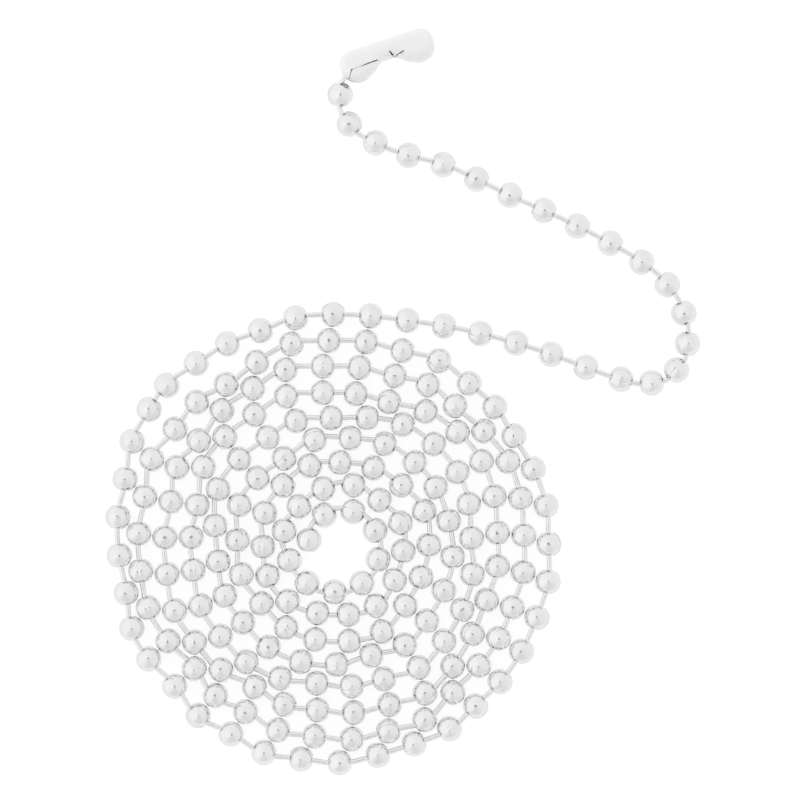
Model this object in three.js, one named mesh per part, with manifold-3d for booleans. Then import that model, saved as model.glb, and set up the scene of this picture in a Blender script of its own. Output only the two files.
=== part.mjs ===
// Roller blind chain, laid out flat: a coil of ball chain whose free end runs out to a folded connector.
// Millimetres, +Z up. The chain lies on the XY plane, its coil at the lower left and the connector at the top.
import * as THREE from "three";
import { mergeVertices } from "three/addons/utils/BufferGeometryUtils.js";
import Module from "manifold-3d";

const wasm = await Module();
wasm.setup();

// Balls: hollow steel beads, each with two opposite holes
const BALL_DIAMETER = 4.5;
const BALL_WALL = 0.25;
const HOLE_DIAMETER = 1.44;

// Links: short pins with a head in each of two neighbouring balls
const LINK_DIAMETER = 0.98;
const LINK_LENGTH = 5.1;
const HEAD_DIAMETER = 1.36;
const HEAD_LENGTH = 0.4;

// Pitch from ball to ball: the links slide into the balls where the chain bends
const PITCH_STRAIGHT = 6.46;
const PITCH_TIGHTEST = 5.0;
const PITCH_AT_NO_BEND = 6.78;
const PITCH_LOST_TO_BEND = 17;
const SIDE_GAP = 0.12;

// Coil: a spiral that widens by about a ball a turn and runs clockwise outwards
const COIL_CENTRE = new THREE.Vector2(-11.3, -25.4);
const COIL_START_RADIUS = 5.25;
const COIL_GROWTH = 4.05;
const COIL_START_ANGLE = THREE.MathUtils.degToRad(170);
const COIL_BALLS = 182;
const SLIDES = [0, -0.15, 0.1, -0.3, 0.2, -0.45];
const SLIDE_COST = 0.3;
const NUDGE = 0.02;

// Free end: points that it passes on its way from the coil to the connector.
// Each is given as the distances ahead of the coil's outer end and out from it.
const FREE_END_POINTS = [
  [15.1, -0.8],
  [19.8, -3.5],
  [29.6, -11.9],
  [36.2, -23.1],
  [40.4, -35.6],
  [42.5, -48.9],
  [43.0, -62.2],
  [42.4, -75.3],
  [42.8, -81.6],
  [45.5, -85.8],
  [50.7, -87.1],
  [56.2, -85.1],
  [60.5, -80.7],
  [63.0, -75.2],
  [65.6, -63.2],
  [67.3, -50.2],
  [69.0, -37.4],
  [68.8, -30.7],
  [69.2, -24.2],
  [71.2, -18.7],
  [75.4, -16.0],
];
const HELD_BALL = [80.96, -17.39];
const ROUTE_STEPS = 1200;
const AXIS_ROUNDS = 60;
const AXIS_EASE = 0.2;

// Connector: one folded sheet with a pocket at each end, lying on its lower cheek.
// Its angle is from straight ahead of the coil's outer end.
const CONNECTOR_ANGLE = THREE.MathUtils.degToRad(-54.5);
const CONNECTOR_SHEET = 0.4;
const POCKET_DISTANCE = 11.25;
const POCKET_SIDE_GAP = 0.25;
const POCKET_GAP = 0.2;
const CORNER_FULLNESS = 0.27;
const FOLD_RADIUS = 1.0;
const LOBE_ROUNDING = 2.2;
const LOBE_END = THREE.MathUtils.degToRad(-52);
const WAIST_POINTS = [
  { along: 2.7, across: -1.9, inward: 135, rounding: 2.1 },
  { along: 3.6, across: -1.12, inward: 125, rounding: 1.9 },
  { along: 4.75, across: -0.6, inward: 90, rounding: 1.7 },
];
const LINK_SLOT_WIDTH = 2.4;
const LINK_SLOT_EDGE = 0.9;

// The mouth is a narrow gap between the near cheek and the lip of the held ball's pocket, and the notch is a
// narrow V beside the waist. Their corners are the distances from the held ball along the fold and towards it.
// Both are cut down to the same height above the ball's middle.
const CUT_FLOOR = 1.0;
const MOUTH_CORNERS = [
  [-2.9, -2.9],
  [-1.15, -0.3],
  [3.7, -0.1],
  [3.75, -0.3],
  [-1.0, -0.62],
  [-2.85, -3.0],
];
const NOTCH_CORNERS = [
  [6.0, 0.62],
  [6.52, -0.8],
  [8.62, -0.24],
  [8.55, 0.02],
  [6.78, -0.42],
  [6.28, 0.66],
];

// How much of the chain is made ball by ball, and how long the joined runs are
const SEPARATE_BALLS = 13;
const BALLS_A_RUN = 6;
const RUN_END_GAP = 0.3;

// Facets
const BALL_SIDES = 10;
const BALL_RINGS = 5;
const LINK_SIDES = 6;
const BEAD_SIDES = 6;
const BEAD_SHOULDER = 0.5;
const LOBE_SEGMENTS = 14;
const ROUNDING_SEGMENTS = 3;
const CUT_MARGIN = 1;
const MERGE_DISTANCE = 1e-4;

const BALL_RADIUS = BALL_DIAMETER / 2;
const LINK_RADIUS = LINK_DIAMETER / 2;
const SIDE_DISTANCE = BALL_DIAMETER + SIDE_GAP;
const POCKET_DIAMETER = BALL_DIAMETER + 2 * POCKET_SIDE_GAP;
const UP = new THREE.Vector3(0, 0, 1);

// Materials
function platedSteel() {
  return new THREE.MeshStandardMaterial({ color: 0xd9dadb, metalness: 1, roughness: 0.12 });
}

function linkSteel() {
  return new THREE.MeshStandardMaterial({ color: 0xcfd0d2, metalness: 1, roughness: 0.25 });
}

function sheetSteel() {
  return new THREE.MeshStandardMaterial({ color: 0xd2d3d5, metalness: 1, roughness: 0.32 });
}

// Pitch for a bend of the given curvature, in 1/mm
function pitchAt(curvature) {
  const pitch = PITCH_AT_NO_BEND - PITCH_LOST_TO_BEND * curvature;
  return THREE.MathUtils.clamp(pitch, PITCH_TIGHTEST, PITCH_STRAIGHT);
}

// Ball centres along a route, given as points close together with the pitch at each:
// a whole number of pitches is shared out so that the last ball lies on the last point.
function shareOut(points, pitches) {
  const count = [0];
  for (let i = 1; i < points.length; i++) {
    const step = points[i].distanceTo(points[i - 1]);
    count.push(count[i - 1] + step / pitches[i]);
  }
  const whole = Math.round(count[count.length - 1]);
  const stretch = whole / count[count.length - 1];
  const centres = [];
  let i = 1;
  for (let ball = 0; ball <= whole; ball++) {
    while (i < points.length - 1 && count[i] * stretch < ball) i++;
    const part = (ball / stretch - count[i - 1]) / (count[i] - count[i - 1]);
    centres.push(points[i - 1].clone().lerp(points[i], Math.min(part, 1)));
  }
  return centres;
}

// A place on the coil's spiral, after the given turning and lifted outwards
function coilPlace(turned, lift) {
  const radius = COIL_START_RADIUS + (COIL_GROWTH * turned) / (2 * Math.PI) + lift;
  const angle = COIL_START_ANGLE - turned;
  return new THREE.Vector2(Math.cos(angle), Math.sin(angle)).multiplyScalar(radius).add(COIL_CENTRE);
}

// A ball after the given turning, lifted outwards until it clears the balls already laid
function layBall(laid, turned) {
  const earlier = laid.slice(0, -1);
  let lift = 0;
  let place = coilPlace(turned, lift);
  while (earlier.some((other) => other.distanceTo(place) < SIDE_DISTANCE)) {
    lift += NUDGE;
    place = coilPlace(turned, lift);
  }
  return { turned, lift, place };
}

// The coil, from its inner end outwards: each ball slides along a little to nest beside the turn inside it
function coilBalls() {
  const places = [coilPlace(0, 0)];
  let turned = 0;
  while (places.length < COIL_BALLS) {
    const radius = COIL_START_RADIUS + (COIL_GROWTH * turned) / (2 * Math.PI);
    const pitch = pitchAt(1 / radius);
    let best = null;
    for (const slide of SLIDES) {
      const ball = layBall(places, turned + (pitch + slide) / radius);
      const cost = ball.lift + SLIDE_COST * Math.abs(slide);
      if (best === null || cost < best.cost) best = { ...ball, cost };
    }
    places.push(best.place);
    turned = best.turned;
  }
  return places;
}

// The directions ahead of the coil's outer end and out from it
function coilHeading(end) {
  const out = end.clone().sub(COIL_CENTRE).normalize();
  return { ahead: new THREE.Vector2(out.y, -out.x), out };
}

// The place at the given distances ahead of the coil's outer end and out from it
function besideCoil(end, [forwards, outwards]) {
  const { ahead, out } = coilHeading(end);
  return end.clone().addScaledVector(ahead, forwards).addScaledVector(out, outwards);
}

// The free end, from the outermost ball of the coil to the ball beside the connector
function freeEndBalls(end) {
  const through = [end, ...FREE_END_POINTS.map((point) => besideCoil(end, point))];
  const curve = new THREE.CatmullRomCurve3(through.map(({ x, y }) => new THREE.Vector3(x, y, 0)));
  const places = curve.getPoints(ROUTE_STEPS);
  const points = places.map((p) => new THREE.Vector2(p.x, p.y));
  const pitches = points.map((point, i) => {
    const before = points[Math.max(i - 1, 0)];
    const after = points[Math.min(i + 1, ROUTE_STEPS)];
    const inward = point.clone().sub(before);
    const outward = after.clone().sub(point);
    const length = Math.max((inward.length() + outward.length()) / 2, NUDGE);
    const turn = Math.abs(Math.asin(inward.cross(outward) / (inward.length() * outward.length() || 1)));
    return pitchAt(turn / length);
  });
  return shareOut(points, pitches).slice(1);
}

// The balls of the free end that run along the coil move out until they clear it
function nudgeApart(coil, freeEnd) {
  for (const ball of freeEnd) {
    const outwards = ball.clone().sub(COIL_CENTRE).normalize().multiplyScalar(NUDGE);
    const earlier = coil.slice(0, -1);
    while (earlier.some((other) => other.distanceTo(ball) < SIDE_DISTANCE)) ball.add(outwards);
  }
}

function ballCentres() {
  const coil = coilBalls();
  const freeEnd = freeEndBalls(coil[coil.length - 1]);
  nudgeApart(coil, freeEnd);
  const centres = [...coil, ...freeEnd].map((p) => new THREE.Vector3(p.x, p.y, BALL_RADIUS));
  const held = besideCoil(coil[coil.length - 1], HELD_BALL);
  centres.push(new THREE.Vector3(held.x, held.y, CONNECTOR_SHEET + POCKET_GAP + BALL_RADIUS));
  return centres;
}

// The middle of a ball's hole, within its wall
function holeMiddle() {
  return reachAt(HOLE_DIAMETER / 2) - BALL_WALL / 2;
}

// The two holes that the link from ball i to the next ball passes through
function linkEnds(centres, axes, i) {
  const from = centres[i].clone().addScaledVector(axes[i], holeMiddle());
  const to = centres[i + 1].clone().addScaledVector(axes[i + 1], -holeMiddle());
  return [from, to];
}

function linkDirection(centres, axes, i) {
  const [from, to] = linkEnds(centres, axes, i);
  return to.sub(from).normalize();
}

function linkMiddle(centres, axes, i) {
  const [from, to] = linkEnds(centres, axes, i);
  return from.add(to).multiplyScalar(0.5);
}

// The axis of an end ball mirrors its neighbour's about the line between the two
function endAxis(centre, neighbour, neighbourAxis) {
  const line = neighbour.clone().sub(centre).normalize();
  return line.multiplyScalar(2 * line.dot(neighbourAxis)).sub(neighbourAxis).normalize();
}

// The axis of each ball settles halfway between the directions of the links on its two sides
function ballAxes(centres) {
  const last = centres.length - 1;
  let axes = centres.map((centre, i) => {
    return centres[Math.min(i + 1, last)].clone().sub(centres[Math.max(i - 1, 0)]).normalize();
  });
  for (let round = 0; round < AXIS_ROUNDS; round++) {
    const links = axes.slice(1).map((axis, i) => linkDirection(centres, axes, i));
    axes = axes.map((axis, i) => {
      if (i === 0) return endAxis(centres[0], centres[1], axes[1]);
      if (i === last) return endAxis(centres[last], centres[last - 1], axes[last - 1]);
      const halfway = links[i - 1].clone().add(links[i]).normalize();
      return axis.clone().lerp(halfway, AXIS_EASE).normalize();
    });
  }
  return axes;
}

// One six-sided ring of a joined run, with a corner at each side and a flat at the top and the bottom
function beadRing(centre, axis, halfWidth, halfHeight) {
  const side = new THREE.Vector3().crossVectors(UP, axis).normalize();
  const rise = new THREE.Vector3().crossVectors(axis, side);
  const flatTop = 1 / Math.sin(Math.PI / 3);
  const ring = [];
  for (let i = 0; i < BEAD_SIDES; i++) {
    const angle = (i / BEAD_SIDES) * 2 * Math.PI;
    const point = centre.clone().addScaledVector(side, Math.cos(angle) * halfWidth);
    ring.push(point.addScaledVector(rise, Math.sin(angle) * halfHeight * flatTop));
  }
  return ring;
}

// Triangles that fill a convex ring
function fan(sides) {
  return Array.from({ length: sides - 2 }, (_, i) => [0, i + 1, i + 2]);
}

// A closed skin through rings of equal size, with a flat cap at each end
function loft(rings, cap = fan(rings[0].length)) {
  const sides = rings[0].length;
  const positions = rings.flat().flatMap((p) => [p.x, p.y, p.z]);
  const index = [];
  for (let r = 0; r < rings.length - 1; r++) {
    for (let i = 0; i < sides; i++) {
      const a = r * sides + i;
      const b = r * sides + ((i + 1) % sides);
      index.push(a, b, b + sides, a, b + sides, a + sides);
    }
  }
  const last = (rings.length - 1) * sides;
  for (const [a, b, c] of cap) {
    index.push(a, c, b);
    index.push(last + a, last + b, last + c);
  }
  const geometry = new THREE.BufferGeometry();
  geometry.setAttribute("position", new THREE.Float32BufferAttribute(positions, 3));
  geometry.setIndex(index);
  return geometry;
}

// How far from a ball's centre its surface meets a round of the given radius about its axis
function reachAt(radius) {
  return Math.sqrt(BALL_RADIUS ** 2 - radius ** 2);
}

// The rings of the last run's headed end, held in the first separate ball
function endHead(middle, ahead) {
  const tip = LINK_LENGTH / 2;
  const back = tip - HEAD_LENGTH;
  const head = HEAD_DIAMETER / 2;
  return [
    [back, LINK_RADIUS],
    [back, head],
    [tip, head],
  ].map(([along, radius]) => beadRing(middle.clone().addScaledVector(ahead, along), ahead, radius, radius));
}

// A joined run of balls and links, from ball first to ball last.
// It starts short of the ball before it, and ends in the link that reaches towards the ball after it.
function runGeometry(centres, axes, first, last) {
  const neck = reachAt(LINK_RADIUS);
  const rings = [];
  for (let i = first; i <= last; i++) {
    for (const [along, halfWidth, halfHeight] of [
      [-neck, LINK_RADIUS, LINK_RADIUS],
      [-BEAD_SHOULDER, BALL_RADIUS, BALL_RADIUS],
      [BEAD_SHOULDER, BALL_RADIUS, BALL_RADIUS],
      [neck, LINK_RADIUS, LINK_RADIUS],
    ]) {
      const middle = centres[i].clone().addScaledVector(axes[i], along);
      rings.push(beadRing(middle, axes[i], halfWidth, halfHeight));
    }
  }
  const ahead = linkDirection(centres, axes, last);
  const entry = centres[last + 1].clone().addScaledVector(axes[last + 1], -neck);
  if (last + 1 < centres.length - SEPARATE_BALLS) {
    entry.addScaledVector(ahead, -RUN_END_GAP);
    rings.push(beadRing(entry, ahead, LINK_RADIUS, LINK_RADIUS));
  } else {
    rings.push(...endHead(linkMiddle(centres, axes, last), ahead));
  }
  return loft(rings);
}

// A hollow ball about the Y axis, open at both holes
function ballGeometry() {
  const profile = [];
  const hole = HOLE_DIAMETER / 2;
  for (const [radius, turn] of [
    [BALL_RADIUS, 1],
    [BALL_RADIUS - BALL_WALL, -1],
  ]) {
    const edge = Math.asin(hole / radius);
    for (let i = 0; i < BALL_RINGS; i++) {
      const share = i / (BALL_RINGS - 1);
      const angle = edge + (Math.PI - 2 * edge) * share;
      profile.push(new THREE.Vector2(radius * Math.sin(angle), -turn * radius * Math.cos(angle)));
    }
  }
  profile.push(profile[0].clone());
  return new THREE.LatheGeometry(profile, BALL_SIDES);
}

// A link about the Y axis, with its middle at the origin
function linkProfile() {
  const tip = LINK_LENGTH / 2;
  const back = tip - HEAD_LENGTH;
  const head = HEAD_DIAMETER / 2;
  return [
    [0, -tip],
    [head, -tip],
    [head, -back],
    [LINK_RADIUS, -back],
    [LINK_RADIUS, back],
    [head, back],
    [head, tip],
    [0, tip],
  ].map(([x, y]) => new THREE.Vector2(x, y));
}

function linkGeometry() {
  return new THREE.LatheGeometry(linkProfile(), LINK_SIDES);
}

// Solids for joins and cuts
function toSolid(geometry, matrix = new THREE.Matrix4()) {
  const plain = geometry.clone().applyMatrix4(matrix);
  plain.deleteAttribute("normal");
  plain.deleteAttribute("uv");
  const merged = mergeVertices(plain, MERGE_DISTANCE);
  const vertProperties = new Float32Array(merged.attributes.position.array);
  const triVerts = new Uint32Array(merged.index.array);
  return new wasm.Manifold(new wasm.Mesh({ numProp: 3, vertProperties, triVerts }));
}

function toGeometry(solid) {
  const mesh = solid.getMesh();
  const geometry = new THREE.BufferGeometry();
  geometry.setAttribute("position", new THREE.BufferAttribute(mesh.vertProperties, 3));
  geometry.setIndex(new THREE.BufferAttribute(mesh.triVerts, 1));
  geometry.computeVertexNormals();
  return geometry;
}

// One end of the connector's outline, from its fold round the pocket to the waist. The held ball is at the
// origin, the fold on the +Y side. Each point knows its way inwards and the rounding that leads to the cheeks.
function lobeOutline() {
  const points = [];
  const round = 1.5 * Math.PI - Math.abs(LOBE_END);
  for (let i = 0; i <= LOBE_SEGMENTS; i++) {
    const pastFold = (round * i) / LOBE_SEGMENTS;
    const corner = pastFold < Math.PI / 2 ? CORNER_FULLNESS * Math.sin(2 * pastFold) ** 2 : 0;
    const direction = new THREE.Vector2(-Math.sin(pastFold), Math.cos(pastFold));
    points.push({
      place: direction.clone().multiplyScalar(POCKET_DIAMETER / 2 + CONNECTOR_SHEET + corner),
      inward: direction.negate(),
      rounding: THREE.MathUtils.lerp(FOLD_RADIUS, LOBE_ROUNDING, (1 - Math.cos(pastFold)) / 2),
    });
  }
  for (const { along, across, inward, rounding } of WAIST_POINTS) {
    const angle = THREE.MathUtils.degToRad(inward);
    points.push({
      place: new THREE.Vector2(along, across),
      inward: new THREE.Vector2(Math.cos(angle), Math.sin(angle)),
      rounding,
    });
  }
  return points;
}

function mirrorPoint(point) {
  return new THREE.Vector2(POCKET_DISTANCE - point.x, point.y);
}

// A block with the connector's outline and rounded edges. A thinner block is thinner by the same all round.
function connectorBlock(thinner) {
  const lobe = lobeOutline();
  const half = BALL_RADIUS + POCKET_GAP + CONNECTOR_SHEET - thinner;
  const rings = [];
  for (const side of [-1, 1]) {
    for (let i = 0; i <= ROUNDING_SEGMENTS; i++) {
      const share = side < 0 ? i / ROUNDING_SEGMENTS - 1 : i / ROUNDING_SEGMENTS;
      const angle = (share * Math.PI) / 2;
      const near = lobe.map(({ place, inward, rounding }) => {
        const bend = rounding - thinner;
        const { x, y } = place.clone().addScaledVector(inward, thinner + bend * (1 - Math.cos(angle)));
        return new THREE.Vector3(x, y, side * (half - bend) + bend * Math.sin(angle));
      });
      const other = near.map(({ x, y, z }) => new THREE.Vector3(POCKET_DISTANCE - x, y, z));
      rings.push([...near, ...other.reverse()]);
    }
  }
  const flat = rings[0].map(({ x, y }) => new THREE.Vector2(x, y));
  return toSolid(loft(rings, THREE.ShapeUtils.triangulateShape(flat, [])));
}

// A prism with the given corners, from one height to another
function prism(corners, low, high) {
  const shape = new THREE.Shape(corners);
  const geometry = new THREE.ExtrudeGeometry(shape, { depth: high - low, bevelEnabled: false });
  return toSolid(geometry.translate(0, 0, low));
}

function connectorGeometry() {
  const past = BALL_RADIUS + POCKET_GAP + CONNECTOR_SHEET + CUT_MARGIN;
  const far = POCKET_DIAMETER / 2 + CONNECTOR_SHEET + CUT_MARGIN;
  const slot = LINK_SLOT_WIDTH / 2;
  const wallStart = -POCKET_DIAMETER / 4;
  const corner = ([x, y]) => new THREE.Vector2(x, y);
  const mouth = MOUTH_CORNERS.map(corner);
  const notch = NOTCH_CORNERS.map(corner);
  const slit = [
    [wallStart, LINK_SLOT_EDGE],
    [-far, LINK_SLOT_EDGE],
    [-far, -far],
    [wallStart, -far],
  ].map(corner);
  return toGeometry(
    connectorBlock(0)
      .subtract(connectorBlock(CONNECTOR_SHEET))
      .subtract(prism(mouth, CUT_FLOOR, past))
      .subtract(prism(mouth.map(mirrorPoint), -past, -CUT_FLOOR))
      .subtract(prism(notch, CUT_FLOOR, past))
      .subtract(prism(notch.map(mirrorPoint), -past, -CUT_FLOOR))
      .subtract(prism(slit, -slot, slot))
      .subtract(prism(slit.map(mirrorPoint), -slot, slot)),
  );
}

// Assembly
function makeMesh(name, geometry, material) {
  const mesh = new THREE.Mesh(geometry, material);
  mesh.name = name;
  return mesh;
}

function numbered(word, number) {
  return `${word}_${String(number).padStart(2, "0")}`;
}

function pointAlong(mesh, axis) {
  mesh.quaternion.setFromUnitVectors(new THREE.Vector3(0, 1, 0), axis);
}

// The joined runs, numbered from the coil's inner end
function addRuns(group, centres, axes) {
  const joined = centres.length - SEPARATE_BALLS;
  const runs = Math.ceil(joined / BALLS_A_RUN);
  for (let run = 0; run < runs; run++) {
    const first = run * BALLS_A_RUN;
    const last = Math.min(first + BALLS_A_RUN, joined) - 1;
    const geometry = runGeometry(centres, axes, first, last);
    group.add(makeMesh(numbered("chain_run", run + 1), geometry, platedSteel()));
  }
}

// The separate balls and links, numbered from the connector back towards the coil
function addSeparateBalls(group, centres, axes) {
  for (let number = 1; number <= SEPARATE_BALLS; number++) {
    const i = centres.length - number;
    const ball = makeMesh(numbered("ball", number), ballGeometry(), platedSteel());
    ball.position.copy(centres[i]);
    pointAlong(ball, axes[i]);
    group.add(ball);
    if (number === SEPARATE_BALLS) continue;
    const link = makeMesh(numbered("link", number), linkGeometry(), linkSteel());
    link.position.copy(linkMiddle(centres, axes, i - 1));
    pointAlong(link, linkDirection(centres, axes, i - 1));
    group.add(link);
  }
}

function addConnector(group, centres) {
  const connector = makeMesh("connector", connectorGeometry(), sheetSteel());
  const { x, y } = centres[COIL_BALLS - 1];
  const { ahead } = coilHeading(new THREE.Vector2(x, y));
  connector.position.copy(centres[centres.length - 1]);
  connector.rotation.z = ahead.angle() + CONNECTOR_ANGLE;
  group.add(connector);
}

// The middle of the chain's underside becomes the origin
function standOnOrigin(group) {
  const box = new THREE.Box3().setFromObject(group, true);
  const base = box.getCenter(new THREE.Vector3()).setZ(box.min.z);
  for (const mesh of group.children) mesh.position.sub(base);
}

function buildChain() {
  const group = new THREE.Group();
  const centres = ballCentres();
  const axes = ballAxes(centres);
  addRuns(group, centres, axes);
  addSeparateBalls(group, centres, axes);
  addConnector(group, centres);
  standOnOrigin(group);
  return group;
}

export default buildChain();
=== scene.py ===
"""Looks of the roller blind chain: round plated balls with bent-in holes and seams, pins and a connector.

Metres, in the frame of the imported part. The chain's lay repeats the part's own rule, from the same sizes.
"""

import cmath
import math
import random

import bmesh
import bpy
import numpy as np
from mathutils import Matrix, Vector


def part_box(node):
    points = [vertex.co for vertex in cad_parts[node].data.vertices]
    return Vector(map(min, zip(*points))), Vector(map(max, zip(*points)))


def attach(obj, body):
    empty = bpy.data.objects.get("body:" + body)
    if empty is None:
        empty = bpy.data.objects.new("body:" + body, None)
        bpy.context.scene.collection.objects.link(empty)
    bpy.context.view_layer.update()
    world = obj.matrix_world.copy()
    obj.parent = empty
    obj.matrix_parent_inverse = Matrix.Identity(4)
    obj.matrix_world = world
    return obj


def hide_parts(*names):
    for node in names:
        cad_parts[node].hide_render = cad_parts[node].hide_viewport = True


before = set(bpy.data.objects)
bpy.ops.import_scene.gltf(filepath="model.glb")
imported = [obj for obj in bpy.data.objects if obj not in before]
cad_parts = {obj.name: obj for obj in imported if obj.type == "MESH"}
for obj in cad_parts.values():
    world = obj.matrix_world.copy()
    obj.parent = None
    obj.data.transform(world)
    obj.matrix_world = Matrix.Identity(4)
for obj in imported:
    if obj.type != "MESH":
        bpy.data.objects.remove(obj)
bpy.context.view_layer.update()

MM = 0.001
SEED = 4
random.seed(SEED)

# Sizes in millimetres, as in the part
BALL_RADIUS = 2.25
BALL_WALL = 0.25
HOLE_RADIUS = 0.72
LINK_RADIUS = 0.49
LINK_LENGTH = 5.1
HEAD_RADIUS = 0.68
HEAD_LENGTH = 0.4
SEPARATE_BALLS = 13
BALLS_A_RUN = 6
SIDE_GAP = 0.12

# The lay of the chain, in millimetres
PITCH_STRAIGHT = 6.46
PITCH_TIGHTEST = 5.0
PITCH_AT_NO_BEND = 6.78
PITCH_LOST_TO_BEND = 17
SIDE_DISTANCE = 2 * BALL_RADIUS + SIDE_GAP
COIL_CENTRE = complex(-11.3, -25.4)
COIL_START_RADIUS = 5.25
COIL_GROWTH = 4.05
COIL_START_ANGLE = math.radians(170)
COIL_BALLS = 182
SLIDES = [0, -0.15, 0.1, -0.3, 0.2, -0.45]
SLIDE_COST = 0.3
NUDGE = 0.02
FREE_END_POINTS = [
    (15.1, -0.8), (19.8, -3.5), (29.6, -11.9), (36.2, -23.1), (40.4, -35.6), (42.5, -48.9),
    (43.0, -62.2), (42.4, -75.3), (42.8, -81.6), (45.5, -85.8), (50.7, -87.1), (56.2, -85.1),
    (60.5, -80.7), (63.0, -75.2), (65.6, -63.2), (67.3, -50.2), (69.0, -37.4), (68.8, -30.7),
    (69.2, -24.2), (71.2, -18.7), (75.4, -16.0),
]
HELD_BALL = (80.96, -17.39)
ROUTE_STEPS = 1200
AXIS_ROUNDS = 60
AXIS_EASE = 0.2

# The sheet of each ball bends in round its holes: radius, and height above the bend's start
DIMPLE_RADIUS = 1.12
DIMPLE = [(1.05, 0.034), (0.98, 0.058), (0.91, 0.064), (0.84, 0.05), (0.78, 0.012), (0.735, -0.06)]

# Connector, in millimetres: u runs along the fold from the held ball, v towards the fold
CONNECTOR_ANGLE = math.radians(-54.5)
CONNECTOR_SHEET = 0.4
POCKET_DISTANCE = 11.25
POCKET_SIDE_GAP = 0.25
POCKET_RADIUS = BALL_RADIUS + POCKET_SIDE_GAP
POCKET_GAP = 0.2
HELD_HEIGHT = BALL_RADIUS + POCKET_GAP + CONNECTOR_SHEET
CORNER_FULLNESS = 0.27
FOLD_RADIUS = 1.0
LOBE_ROUNDING = 2.2
LOBE_END = math.radians(-52)
WAIST_POINTS = [(2.7, -1.9, 135, 2.1), (3.6, -1.12, 125, 1.9), (4.75, -0.6, 90, 1.7)]
LINK_SLOT_HALF = 1.2
LINK_SLOT_EDGE = 0.9
CUT_FLOOR = 1.0
CUT_MARGIN = 1
MOUTH_CORNERS = [(-2.9, -2.9), (-1.15, -0.3), (3.7, -0.1), (3.75, -0.3), (-1.05, -0.5), (-2.88, -2.95)]
NOTCH_CORNERS = [(6.0, 0.62), (6.52, -0.8), (8.62, -0.24), (8.55, 0.02), (6.78, -0.42), (6.28, 0.66)]
FACET_ALLOWANCE = 0.04
CREASE_ANGLE = math.radians(32)
SHEET_GRAIN_ANGLE = math.radians(-17)

# Mesh density
BALL_SIDES = 32
BALL_RINGS = 16
INNER_RINGS = 4
SEAM_DEPTH = 0.045
SEAM_HALF_ANGLE = math.radians(1.6)
OUTSIDE_MARGIN = 0.01
SAME_ANGLE = 1e-6
LINK_SIDES = 16
LOBE_SEGMENTS = 56
WAIST_SEGMENTS = 8
ROUNDING_SEGMENTS = 9
WELD_DISTANCE = 1e-7

# Photograph: 800 pixels across, seen from straight above
PHOTO_PIXELS = 800
MM_A_PIXEL = 0.175
PHOTO_MIDDLE_X = 403
PHOTO_MIDDLE_Y = 400
CAMERA_HEIGHT = 0.9
CAMERA_REACH = 20
SENSOR = 36

# Textures of the metal: noise scales and bump depths, in metres
SMUDGE_SCALE = 420
DENT_SCALE = 450
DENT_DEPTH = 0.0003
PIT_SCALE = 2600
SCRATCH_SCALE = 900
WIRE_CLOUD_SCALE = 900
WIRE_GRAIN_SCALE = 5200
SHEET_CLOUD_SCALE = 260
SHEET_GRAIN_SCALE = 500
SHEET_GRAIN_STRETCH = 14
FINE_DEPTH = 0.00002

# Floor: half its side in metres, its grey, and its own white for reflections and for the camera
FLOOR_HALF = 3
FLOOR_GREY = 0.2
FLOOR_REFLECTED = 0.74
FLOOR_SEEN = 0.87

# Softbox, in metres and watts
LAMP_SIDE = 0.5
LAMP_POWER = 0.6
LAMP_PLACE = (-0.45, 0.35, 0.7)

# Brightness of the tent by heading, from the left round the front, the right and the back
TENT_STOPS = [
    (0.0, 1.0), (0.07, 0.995), (0.097, 0.98), (0.125, 0.945), (0.153, 0.885), (0.18, 0.825),
    (0.208, 0.785), (0.25, 0.765), (0.292, 0.77), (0.333, 0.8), (0.375, 0.84), (0.43, 0.865),
    (0.5, 0.89), (0.625, 0.9), (0.75, 0.92), (0.875, 0.98), (1.0, 1.0),
]
# The tent is at least this bright low down, up to the first height, and less so at the second
HORIZON = 0.85
ABOVE_HORIZON = 0.6
HORIZON_START = 0.1
HORIZON_END = 0.5
# The dark opening at the top: its brightness, and the heights where it starts and is complete
OPENING = 0.38
OPENING_START = math.cos(math.radians(11))
OPENING_END = math.cos(math.radians(6))


def pitch_at(curvature):
    """Pitch for a bend of the given curvature: the pins slide into the balls where the chain bends."""
    pitch = PITCH_AT_NO_BEND - PITCH_LOST_TO_BEND * curvature
    return min(max(pitch, PITCH_TIGHTEST), PITCH_STRAIGHT)


def coil_place(turned, lift):
    """A place on the coil's spiral, after the given turning and lifted outwards."""
    radius = COIL_START_RADIUS + COIL_GROWTH * turned / (2 * math.pi) + lift
    return COIL_CENTRE + cmath.rect(radius, COIL_START_ANGLE - turned)


def lay_ball(laid, turned):
    """A ball after the given turning, lifted outwards until it clears the balls already laid."""
    lift = 0
    place = coil_place(turned, lift)
    while any(abs(other - place) < SIDE_DISTANCE for other in laid[:-1]):
        lift += NUDGE
        place = coil_place(turned, lift)
    return lift, place


def coil_balls():
    """The coil from its inner end outwards: each ball slides a little to nest beside the turn inside it."""
    places = [coil_place(0, 0)]
    turned = 0
    while len(places) < COIL_BALLS:
        radius = COIL_START_RADIUS + COIL_GROWTH * turned / (2 * math.pi)
        pitch = pitch_at(1 / radius)
        best = None
        for slide in SLIDES:
            angle = turned + (pitch + slide) / radius
            lift, place = lay_ball(places, angle)
            cost = lift + SLIDE_COST * abs(slide)
            if best is None or cost < best[0]:
                best = (cost, place, angle)
        places.append(best[1])
        turned = best[2]
    return places


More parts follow.
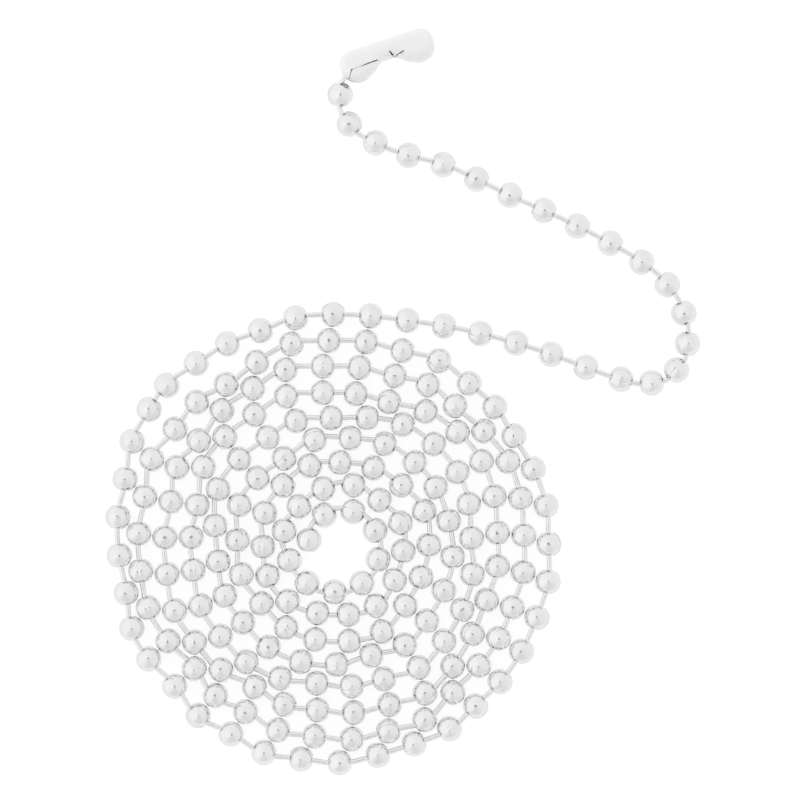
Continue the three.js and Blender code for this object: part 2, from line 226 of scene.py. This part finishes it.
def smooth_route(through):
    """Points close together on a centripetal Catmull-Rom curve through the given ones."""
    ends = [2 * through[0] - through[1], *through, 2 * through[-1] - through[-2]]
    route = []
    for step in range(ROUTE_STEPS + 1):
        along = (len(through) - 1) * step / ROUTE_STEPS
        i = min(int(along), len(through) - 2)
        part = along - i
        p0, p1, p2, p3 = ends[i:i + 4]
        d0, d1, d2 = (math.sqrt(abs(b - a)) for a, b in ((p0, p1), (p1, p2), (p2, p3)))
        start = ((p1 - p0) / d0 - (p2 - p0) / (d0 + d1) + (p2 - p1) / d1) * d1
        end = ((p2 - p1) / d1 - (p3 - p1) / (d1 + d2) + (p3 - p2) / d2) * d1
        square = -3 * p1 + 3 * p2 - 2 * start - end
        cube = 2 * p1 - 2 * p2 + start + end
        route.append(p1 + start * part + square * part ** 2 + cube * part ** 3)
    return route


def ahead_of(end):
    """The direction straight ahead of the coil's outer end."""
    out = (end - COIL_CENTRE) / abs(end - COIL_CENTRE)
    return complex(out.imag, -out.real)


def beside_coil(end, point):
    """The place at the given distances ahead of the coil's outer end and out from it."""
    return end + ahead_of(end) * complex(*point)


def free_end_balls(end):
    """The free end, from the outermost ball of the coil to the ball beside the connector."""
    points = smooth_route([end] + [beside_coil(end, point) for point in FREE_END_POINTS])
    last = len(points) - 1
    count = [0]
    for i in range(1, last + 1):
        inward = points[i] - points[i - 1]
        outward = points[min(i + 1, last)] - points[i]
        length = max((abs(inward) + abs(outward)) / 2, NUDGE)
        cross = inward.real * outward.imag - inward.imag * outward.real
        turn = abs(math.asin(cross / (abs(inward) * abs(outward) or 1)))
        count.append(count[-1] + abs(inward) / pitch_at(turn / length))
    whole = round(count[-1])
    stretch = whole / count[-1]
    balls = []
    i = 1
    for ball in range(1, whole + 1):
        while i < last and count[i] * stretch < ball:
            i += 1
        part = min((ball / stretch - count[i - 1]) / (count[i] - count[i - 1]), 1)
        balls.append(points[i - 1] + (points[i] - points[i - 1]) * part)
    return balls


def ball_centres():
    """Centres of all balls in millimetres, from the coil's inner end to the ball held in the connector."""
    coil = coil_balls()
    free_end = free_end_balls(coil[-1])
    for i, ball in enumerate(free_end):
        outwards = (ball - COIL_CENTRE) / abs(ball - COIL_CENTRE) * NUDGE
        while any(abs(other - ball) < SIDE_DISTANCE for other in coil[:-1]):
            ball += outwards
        free_end[i] = ball
    centres = [(p.real, p.imag, BALL_RADIUS) for p in coil + free_end]
    held = beside_coil(coil[-1], HELD_BALL)
    centres.append((held.real, held.imag, HELD_HEIGHT))
    turn = cmath.phase(ahead_of(coil[-1])) + CONNECTOR_ANGLE
    return np.array(centres), turn


def unit(v):
    return v / np.linalg.norm(v, axis=-1, keepdims=True)


def hole_middle():
    """How far from a ball's centre the middle of its hole lies, within its wall."""
    return math.sqrt(BALL_RADIUS ** 2 - HOLE_RADIUS ** 2) - BALL_WALL / 2


def link_ends(centres, axes):
    """The two holes that each link passes through."""
    return centres[:-1] + axes[:-1] * hole_middle(), centres[1:] - axes[1:] * hole_middle()


def end_axis(centre, neighbour, neighbour_axis):
    """The axis of an end ball mirrors its neighbour's about the line between the two."""
    line = unit(neighbour - centre)
    return unit(line * 2 * line.dot(neighbour_axis) - neighbour_axis)


def ball_axes(centres):
    """The axis of each ball settles halfway between the directions of the links on its two sides."""
    padded = np.concatenate([centres[:1], centres, centres[-1:]])
    axes = unit(padded[2:] - padded[:-2])
    for _ in range(AXIS_ROUNDS):
        near, far = link_ends(centres, axes)
        links = unit(far - near)
        halfway = unit(links[:-1] + links[1:])
        middle = unit(axes[1:-1] + (halfway - axes[1:-1]) * AXIS_EASE)
        first = end_axis(centres[0], centres[1], axes[1])
        last = end_axis(centres[-1], centres[-2], axes[-2])
        axes = np.concatenate([[first], middle, [last]])
    return axes


def lathe(profile, sides, closed):
    """Vertices and quads of a profile of (radius, along) turned about the Z axis, as arrays."""
    rows = len(profile)
    radius = np.array([p[0] for p in profile])
    along = np.array([p[1] for p in profile])
    angle = np.arange(sides) / sides * 2 * math.pi
    x = radius[:, None] * np.cos(angle)
    y = radius[:, None] * np.sin(angle)
    z = np.repeat(along[:, None], sides, 1)
    verts = np.stack([x, y, z], -1).reshape(-1, 3)
    quads = []
    for row in range(rows if closed else rows - 1):
        for side in range(sides):
            a = row * sides + side
            b = row * sides + (side + 1) % sides
            above = (row + 1) % rows * sides
            quads.append((a, b, above + (side + 1) % sides, above + side))
    return verts, quads


def ball_template():
    """A hollow ball about the Z axis, bent in round its holes, with a fine seam from hole to hole."""
    edge = math.asin(DIMPLE_RADIUS / BALL_RADIUS)
    outer = []
    for i in range(BALL_RINGS + 1):
        angle = math.pi - edge - (math.pi - 2 * edge) * i / BALL_RINGS
        outer.append((BALL_RADIUS * math.sin(angle), BALL_RADIUS * math.cos(angle)))
    top = outer[-1][1]
    lip = [(r, top + rise) for r, rise in DIMPLE]
    inside = BALL_RADIUS - BALL_WALL
    inner_edge = math.asin(DIMPLE[-1][0] / inside)
    inner = []
    for i in range(INNER_RINGS + 1):
        angle = inner_edge + (math.pi - 2 * inner_edge) * i / INNER_RINGS
        inner.append((inside * math.sin(angle), inside * math.cos(angle)))
    under = [(r, -z) for r, z in reversed(lip)]
    verts, quads = lathe(outer + lip + inner + under, BALL_SIDES, True)
    seam = np.arctan2(verts[:, 1], verts[:, 0])
    outside = np.linalg.norm(verts, axis=1) > BALL_RADIUS - OUTSIDE_MARGIN
    groove = outside & (np.abs(seam) < SAME_ANGLE)
    verts[groove] *= 1 - SEAM_DEPTH / BALL_RADIUS
    for sign in (1, -1):
        shoulder = outside & (np.abs(seam - sign * 2 * math.pi / BALL_SIDES) < SAME_ANGLE)
        narrow = SEAM_HALF_ANGLE * sign
        length = np.hypot(verts[shoulder, 0], verts[shoulder, 1])
        verts[shoulder, 0] = length * math.cos(narrow)
        verts[shoulder, 1] = length * math.sin(narrow)
    return verts, quads


def link_template():
    """A pin about the Z axis with a rounded head at each end, and a slight waist."""
    tip = LINK_LENGTH / 2
    back = tip - HEAD_LENGTH
    half = [
        (0.0, tip), (0.34, tip - 0.01), (0.55, tip - 0.07), (HEAD_RADIUS, tip - 0.2), (0.64, back + 0.06),
        (LINK_RADIUS, back), (LINK_RADIUS - 0.02, back * 0.5),
    ]
    profile = [(r, -z) for r, z in half] + [(r, z) for r, z in reversed(half)]
    return lathe(profile, LINK_SIDES, False)


def turn_to(axis, spin):
    """A rotation that takes +Z to axis, after a spin about +Z."""
    turn = Vector((0, 0, 1)).rotation_difference(Vector(axis)).to_matrix()
    return np.array(turn @ Matrix.Rotation(spin, 3, "Z"))


def mesh_object(name, parts, materials):
    """One smooth object in metres from (vertices in mm, quads, material index) parts."""
    verts, faces, slots = [], [], []
    start = 0
    for points, quads, slot in parts:
        verts.append(points)
        faces.extend(tuple(i + start for i in quad) for quad in quads)
        slots.extend([slot] * len(quads))
        start += len(points)
    mesh = bpy.data.meshes.new(name)
    mesh.from_pydata((np.concatenate(verts) * MM).tolist(), [], faces)
    mesh.polygons.foreach_set("material_index", slots)
    mesh.polygons.foreach_set("use_smooth", [True] * len(faces))
    for material in materials:
        mesh.materials.append(material)
    mesh.validate()
    bm = bmesh.new()
    bm.from_mesh(mesh)
    bmesh.ops.remove_doubles(bm, verts=bm.verts, dist=WELD_DISTANCE)
    bmesh.ops.recalc_face_normals(bm, faces=bm.faces)
    bm.to_mesh(mesh)
    bm.free()
    obj = bpy.data.objects.new(name, mesh)
    bpy.context.collection.objects.link(obj)
    return obj


# Materials
def node_tree(name):
    material = bpy.data.materials.new(name)
    material.use_nodes = True
    nodes = material.node_tree.nodes
    return material, nodes, material.node_tree.links, nodes["Principled BSDF"]


def noise(nodes, links, coords, scale, detail=4.0):
    texture = nodes.new("ShaderNodeTexNoise")
    texture.inputs["Scale"].default_value = scale
    texture.inputs["Detail"].default_value = detail
    links.new(coords, texture.inputs["Vector"])
    return texture.outputs["Fac"]


def ramp(nodes, links, factor, stops):
    """A colour ramp with grey stops of (place, value)."""
    node = nodes.new("ShaderNodeValToRGB")
    while len(node.color_ramp.elements) < len(stops):
        node.color_ramp.elements.new(0.5)
    for element, (place, value) in zip(node.color_ramp.elements, stops):
        element.position = place
        element.color = (value, value, value * 1.005, 1)
    links.new(factor, node.inputs["Fac"])
    return node.outputs["Color"]


def bumped(nodes, links, height, depth, strength=1.0, under=None):
    """The normal of a bump from the given height, on top of another bump's normal if there is one."""
    node = nodes.new("ShaderNodeBump")
    node.inputs["Strength"].default_value = strength
    node.inputs["Distance"].default_value = depth
    links.new(height, node.inputs["Height"])
    if under:
        links.new(under, node.inputs["Normal"])
    return node.outputs["Normal"]


def plated_steel():
    """Bright plating: mirror-like, with soft dents, smudges, a few fine pits and hairline scratches."""
    material, nodes, links, shader = node_tree("bright_plating")
    shader.inputs["Metallic"].default_value = 1
    coords = nodes.new("ShaderNodeTexCoord").outputs["Object"]
    smudge = noise(nodes, links, coords, SMUDGE_SCALE, 3)
    links.new(ramp(nodes, links, smudge, [(0.3, 0.86), (0.62, 0.9)]), shader.inputs["Base Color"])
    links.new(ramp(nodes, links, smudge, [(0.35, 0.05), (0.7, 0.13)]), shader.inputs["Roughness"])
    pits = noise(nodes, links, coords, PIT_SCALE, 2)
    scratch = nodes.new("ShaderNodeTexWave")
    scratch.inputs["Scale"].default_value = SCRATCH_SCALE
    scratch.inputs["Distortion"].default_value = 14
    scratch.inputs["Detail"].default_value = 3
    links.new(coords, scratch.inputs["Vector"])
    lines = ramp(nodes, links, scratch.outputs["Fac"], [(0.0, 0.0), (0.04, 1.0)])
    deep = ramp(nodes, links, pits, [(0.28, 0.0), (0.36, 1.0)])
    both = nodes.new("ShaderNodeMath")
    both.operation = "MULTIPLY"
    links.new(lines, both.inputs[0])
    links.new(deep, both.inputs[1])
    dents = bumped(nodes, links, noise(nodes, links, coords, DENT_SCALE, 1.5), DENT_DEPTH)
    fine = bumped(nodes, links, both.outputs[0], FINE_DEPTH, 0.12, dents)
    links.new(fine, shader.inputs["Normal"])
    return material


def drawn_wire():
    """Pins of drawn wire: plated, a little duller than the balls."""
    material, nodes, links, shader = node_tree("drawn_wire")
    shader.inputs["Metallic"].default_value = 1
    coords = nodes.new("ShaderNodeTexCoord").outputs["Object"]
    cloud = noise(nodes, links, coords, WIRE_CLOUD_SCALE, 3)
    links.new(ramp(nodes, links, cloud, [(0.3, 0.86), (0.7, 0.93)]), shader.inputs["Base Color"])
    links.new(ramp(nodes, links, cloud, [(0.3, 0.14), (0.7, 0.26)]), shader.inputs["Roughness"])
    grain = bumped(nodes, links, noise(nodes, links, coords, WIRE_GRAIN_SCALE, 2), FINE_DEPTH, 0.15)
    links.new(grain, shader.inputs["Normal"])
    return material


def plated_sheet():
    """Pressed sheet: plated, with the soft ripple and fine grain of rolled metal."""
    material, nodes, links, shader = node_tree("plated_sheet")
    shader.inputs["Metallic"].default_value = 1
    coords = nodes.new("ShaderNodeTexCoord").outputs["Object"]
    cloud = noise(nodes, links, coords, SHEET_CLOUD_SCALE)
    links.new(ramp(nodes, links, cloud, [(0.3, 0.96), (0.7, 0.985)]), shader.inputs["Base Color"])
    links.new(ramp(nodes, links, cloud, [(0.3, 0.56), (0.7, 0.66)]), shader.inputs["Roughness"])
    along = nodes.new("ShaderNodeMapping")
    along.inputs["Rotation"].default_value = (0, 0, SHEET_GRAIN_ANGLE)
    along.inputs["Scale"].default_value = (1, SHEET_GRAIN_STRETCH, SHEET_GRAIN_STRETCH)
    links.new(coords, along.inputs["Vector"])
    grain = noise(nodes, links, along.outputs["Vector"], SHEET_GRAIN_SCALE, 3)
    links.new(bumped(nodes, links, grain, FINE_DEPTH, 0.2), shader.inputs["Normal"])
    return material


# Connector
def lobe_outline():
    """Half the connector's outline, from the fold round the held ball's pocket to the waist.

    Each point is a place, its way inwards and the rounding that leads to the cheeks.
    """
    points = []
    sweep = 1.5 * math.pi - abs(LOBE_END)
    for i in range(LOBE_SEGMENTS + 1):
        past_fold = sweep * i / LOBE_SEGMENTS
        corner = CORNER_FULLNESS * math.sin(2 * past_fold) ** 2 if past_fold < math.pi / 2 else 0
        outwards = cmath.rect(1, math.pi / 2 + past_fold)
        rounding = FOLD_RADIUS + (LOBE_ROUNDING - FOLD_RADIUS) * (1 - math.cos(past_fold)) / 2
        points.append((outwards * (POCKET_RADIUS + CONNECTOR_SHEET + corner), -outwards, rounding))
    waist = [(complex(u, v), cmath.rect(1, math.radians(turn)), bend) for u, v, turn, bend in WAIST_POINTS]
    beyond = POCKET_DISTANCE - waist[-1][0].conjugate()
    places = [points[-WAIST_SEGMENTS][0], points[-1][0]] + [place for place, _, _ in waist] + [beyond]
    for i, (_, inwards, rounding) in enumerate(waist):
        p0, p1, p2, p3 = places[i:i + 4]
        _, before, bend_before = points[-1]
        for step in range(1, WAIST_SEGMENTS + 1):
            part = step / WAIST_SEGMENTS
            place = p1 + (p2 - p0) / 2 * part + (p0 - 2.5 * p1 + 2 * p2 - p3 / 2) * part ** 2
            place += (1.5 * (p1 - p2) + (p3 - p0) / 2) * part ** 3
            way = before + (inwards - before) * part
            points.append((place, way / abs(way), bend_before + (rounding - bend_before) * part))
    return points


def skin_ring(thinner, angle, side):
    """One ring round the connector's skin, at -90 degrees on its lower cheek and 90 on its upper one."""
    half_height = HELD_HEIGHT - thinner
    ring = []
    for place, inwards, rounding in lobe_outline():
        bend = rounding - thinner
        place += inwards * (thinner + bend * (1 - math.cos(angle)))
        ring.append((place.real, place.imag, side * (half_height - bend) + bend * math.sin(angle)))
    return ring + [(POCKET_DISTANCE - u, v, height) for u, v, height in reversed(ring)]


def block(thinner):
    """A closed block with the connector's outline and rounded edges, thinner all round."""
    bm = bmesh.new()
    rings = []
    for side in (-1, 1):
        for i in range(ROUNDING_SEGMENTS + 1):
            share = i / ROUNDING_SEGMENTS
            angle = math.pi / 2 * (share - 1 if side < 0 else share)
            rings.append([bm.verts.new(point) for point in skin_ring(thinner, angle, side)])
    count = len(rings[0])
    for lower, upper in zip(rings, rings[1:]):
        for i in range(count):
            k = (i + 1) % count
            bm.faces.new((lower[i], lower[k], upper[k], upper[i]))
    bm.faces.new(rings[0])
    bm.faces.new(rings[-1])
    bmesh.ops.recalc_face_normals(bm, faces=bm.faces)
    return as_object(bm, "block")


def prism(corners, low, high):
    """A prism with the given corners, from one height to another."""
    bm = bmesh.new()
    under = [bm.verts.new((u, v, low)) for u, v in corners]
    over = [bm.verts.new((u, v, high)) for u, v in corners]
    for i in range(len(corners)):
        k = (i + 1) % len(corners)
        bm.faces.new((under[i], under[k], over[k], over[i]))
    bm.faces.new(under)
    bm.faces.new(over)
    bmesh.ops.recalc_face_normals(bm, faces=bm.faces)
    return as_object(bm, "prism")


def as_object(bm, name):
    mesh = bpy.data.meshes.new(name)
    bm.to_mesh(mesh)
    bm.free()
    obj = bpy.data.objects.new(name, mesh)
    bpy.context.collection.objects.link(obj)
    return obj


def cut(obj, tool):
    """Takes the tool's shape out of obj, and deletes the tool."""
    modifier = obj.modifiers.new("cut", "BOOLEAN")
    modifier.operation = "DIFFERENCE"
    modifier.solver = "EXACT"
    modifier.object = tool
    apply_modifiers(obj)
    bpy.data.objects.remove(tool)


def apply_modifiers(obj):
    evaluated = obj.evaluated_get(bpy.context.evaluated_depsgraph_get())
    mesh = bpy.data.meshes.new_from_object(evaluated)
    obj.modifiers.clear()
    obj.data = mesh


def mirrored(corners):
    return [(POCKET_DISTANCE - u, v) for u, v in corners]


def build_connector(centre, turn, material):
    past = HELD_HEIGHT + CUT_MARGIN
    far = POCKET_RADIUS + CONNECTOR_SHEET + CUT_MARGIN
    wall_start = -POCKET_RADIUS / 2
    slit = [(wall_start, LINK_SLOT_EDGE), (-far, LINK_SLOT_EDGE), (-far, -far), (wall_start, -far)]
    sheet = block(FACET_ALLOWANCE)
    cut(sheet, block(CONNECTOR_SHEET))
    for opening in (MOUTH_CORNERS, NOTCH_CORNERS):
        cut(sheet, prism(opening, CUT_FLOOR, past))
        cut(sheet, prism(mirrored(opening), -past, -CUT_FLOOR))
    for opening in (slit, mirrored(slit)):
        cut(sheet, prism(opening, -LINK_SLOT_HALF, LINK_SLOT_HALF))
    sheet.name = "connector_sheet"
    place = Matrix.Translation(Vector(centre) * MM) @ Matrix.Rotation(turn, 4, "Z") @ Matrix.Scale(MM, 4)
    sheet.data.transform(place)
    sheet.data.materials.clear()
    sheet.data.materials.append(material)
    bm = bmesh.new()
    bm.from_mesh(sheet.data)
    for edge in bm.edges:
        edge.smooth = len(edge.link_faces) == 2 and edge.calc_face_angle(0) < CREASE_ANGLE
    for face in bm.faces:
        face.smooth = True
    bm.to_mesh(sheet.data)
    bm.free()
    return sheet


# Chain
def build_chain():
    centres, connector_turn = ball_centres()
    axes = ball_axes(centres)
    low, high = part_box("ball_01")
    shift = (np.array(low) + np.array(high)) / 2 / MM - centres[-1]
    centres += shift
    ball_verts, ball_quads = ball_template()
    link_verts, link_quads = link_template()
    near, far = link_ends(centres, axes)
    plating, wire, sheet_metal = plated_steel(), drawn_wire(), plated_sheet()

    def ball(i, slot=0):
        spin = random.uniform(0, 2 * math.pi)
        return ball_verts @ turn_to(axes[i], spin).T + centres[i], ball_quads, slot

    def link(i, slot=0):
        middle = (near[i] + far[i]) / 2
        return link_verts @ turn_to(unit(far[i] - near[i]), 0).T + middle, link_quads, slot

    joined = len(centres) - SEPARATE_BALLS
    for run in range(math.ceil(joined / BALLS_A_RUN)):
        first = run * BALLS_A_RUN
        parts = []
        for i in range(first, min(first + BALLS_A_RUN, joined)):
            parts += [ball(i), link(i, 1)]
        piece = mesh_object(f"run_beads_{run + 1:02d}", parts, [plating, wire])
        finish_piece(piece, f"chain_run_{run + 1:02d}", "root")
    for number in range(1, SEPARATE_BALLS + 1):
        i = len(centres) - number
        piece = mesh_object(f"bead_{number:02d}", [ball(i)], [plating])
        finish_piece(piece, f"ball_{number:02d}", f"ball_{number:02d}")
        if number < SEPARATE_BALLS:
            piece = mesh_object(f"pin_{number:02d}", [link(i - 1)], [wire])
            finish_piece(piece, f"link_{number:02d}", f"link_{number:02d}")
    sheet = build_connector(centres[-1], connector_turn, sheet_metal)
    finish_piece(sheet, "connector", "connector")
    return shift


def finish_piece(piece, node, body):
    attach(piece, body)
    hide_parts(node)


# Stage
def photo_point(px, py):
    """The place on the floor that a pixel of the photograph shows, before the part's origin was set."""
    return Vector(((px - PHOTO_MIDDLE_X) * MM_A_PIXEL * MM, (PHOTO_MIDDLE_Y - py) * MM_A_PIXEL * MM, 0))


def build_camera(shift):
    data = bpy.data.cameras.new("camera")
    width = PHOTO_PIXELS * MM_A_PIXEL * MM
    data.sensor_width = SENSOR
    data.lens = SENSOR * (CAMERA_HEIGHT - BALL_RADIUS * MM) / width
    data.clip_end = CAMERA_REACH
    camera = bpy.data.objects.new("camera", data)
    middle = photo_point(PHOTO_PIXELS / 2, PHOTO_PIXELS / 2) + shift
    camera.location = (middle.x, middle.y, CAMERA_HEIGHT)
    bpy.context.collection.objects.link(camera)
    bpy.context.scene.camera = camera


def build_floor():
    """A white floor that keeps a faint shadow: part of its white is its own, seen and reflected."""
    bm = bmesh.new()
    sides = ((-1, -1), (1, -1), (1, 1), (-1, 1))
    corners = [bm.verts.new((x * FLOOR_HALF, y * FLOOR_HALF, 0)) for x, y in sides]
    bm.faces.new(corners)
    floor = as_object(bm, "floor")
    material = bpy.data.materials.new("white_floor")
    material.use_nodes = True
    nodes, links = material.node_tree.nodes, material.node_tree.links
    nodes.clear()
    output = nodes.new("ShaderNodeOutputMaterial")
    diffuse = nodes.new("ShaderNodeBsdfDiffuse")
    diffuse.inputs["Color"].default_value = (FLOOR_GREY, FLOOR_GREY, FLOOR_GREY, 1)
    glow = nodes.new("ShaderNodeEmission")
    add = nodes.new("ShaderNodeAddShader")
    path = nodes.new("ShaderNodeLightPath")
    seen = nodes.new("ShaderNodeMath")
    seen.operation = "MULTIPLY_ADD"
    seen.inputs[1].default_value = FLOOR_REFLECTED
    camera_part = nodes.new("ShaderNodeMath")
    camera_part.operation = "MULTIPLY"
    camera_part.inputs[1].default_value = FLOOR_SEEN
    links.new(path.outputs["Is Camera Ray"], camera_part.inputs[0])
    both = nodes.new("ShaderNodeMath")
    both.operation = "MAXIMUM"
    links.new(path.outputs["Is Glossy Ray"], both.inputs[0])
    links.new(path.outputs["Is Transmission Ray"], both.inputs[1])
    links.new(both.outputs[0], seen.inputs[0])
    links.new(camera_part.outputs[0], seen.inputs[2])
    links.new(seen.outputs[0], glow.inputs["Strength"])
    links.new(diffuse.outputs[0], add.inputs[0])
    links.new(glow.outputs[0], add.inputs[1])
    links.new(add.outputs[0], output.inputs["Surface"])
    floor.data.materials.append(material)


def build_world():
    """A soft white tent: brightest at the left, darker at the front, with a small dark opening on top."""
    world = bpy.data.worlds.new("tent")
    bpy.context.scene.world = world
    world.use_nodes = True
    nodes, links = world.node_tree.nodes, world.node_tree.links
    background = nodes["Background"]
    background.inputs["Color"].default_value = (1, 1, 1, 1)
    direction = nodes.new("ShaderNodeTexCoord").outputs["Generated"]
    height = nodes.new("ShaderNodeSeparateXYZ")
    links.new(direction, height.inputs[0])

    def stepped(start, end, low, high):
        node = nodes.new("ShaderNodeMapRange")
        node.interpolation_type = "SMOOTHSTEP"
        for socket, value in zip(("From Min", "From Max", "To Min", "To Max"), (start, end, low, high)):
            node.inputs[socket].default_value = value
        links.new(height.outputs["Z"], node.inputs["Value"])
        return node.outputs["Result"]

    heading = nodes.new("ShaderNodeTexGradient")
    heading.gradient_type = "RADIAL"
    links.new(direction, heading.inputs["Vector"])
    sides = ramp(nodes, links, heading.outputs["Fac"], TENT_STOPS)
    low_down = nodes.new("ShaderNodeMath")
    low_down.operation = "MAXIMUM"
    links.new(sides, low_down.inputs[0])
    links.new(stepped(HORIZON_START, HORIZON_END, HORIZON, ABOVE_HORIZON), low_down.inputs[1])
    strength = nodes.new("ShaderNodeMath")
    strength.operation = "MULTIPLY"
    links.new(low_down.outputs[0], strength.inputs[0])
    opening = stepped(OPENING_START, OPENING_END, 1.0, OPENING)
    links.new(opening, strength.inputs[1])
    links.new(strength.outputs[0], background.inputs["Strength"])


def build_lamp():
    data = bpy.data.lights.new("softbox", "AREA")
    data.shape = "RECTANGLE"
    data.size = LAMP_SIDE
    data.size_y = LAMP_SIDE
    data.energy = LAMP_POWER
    lamp = bpy.data.objects.new("softbox", data)
    lamp.location = LAMP_PLACE
    lamp.rotation_euler = (Vector((0, 0, 0)) - lamp.location).to_track_quat("-Z", "Y").to_euler()
    lamp.visible_glossy = False
    bpy.context.collection.objects.link(lamp)


bpy.context.scene.view_settings.view_transform = "Standard"
shift = build_chain()
build_camera(Vector(shift) * MM)
build_floor()
build_world()
build_lamp()
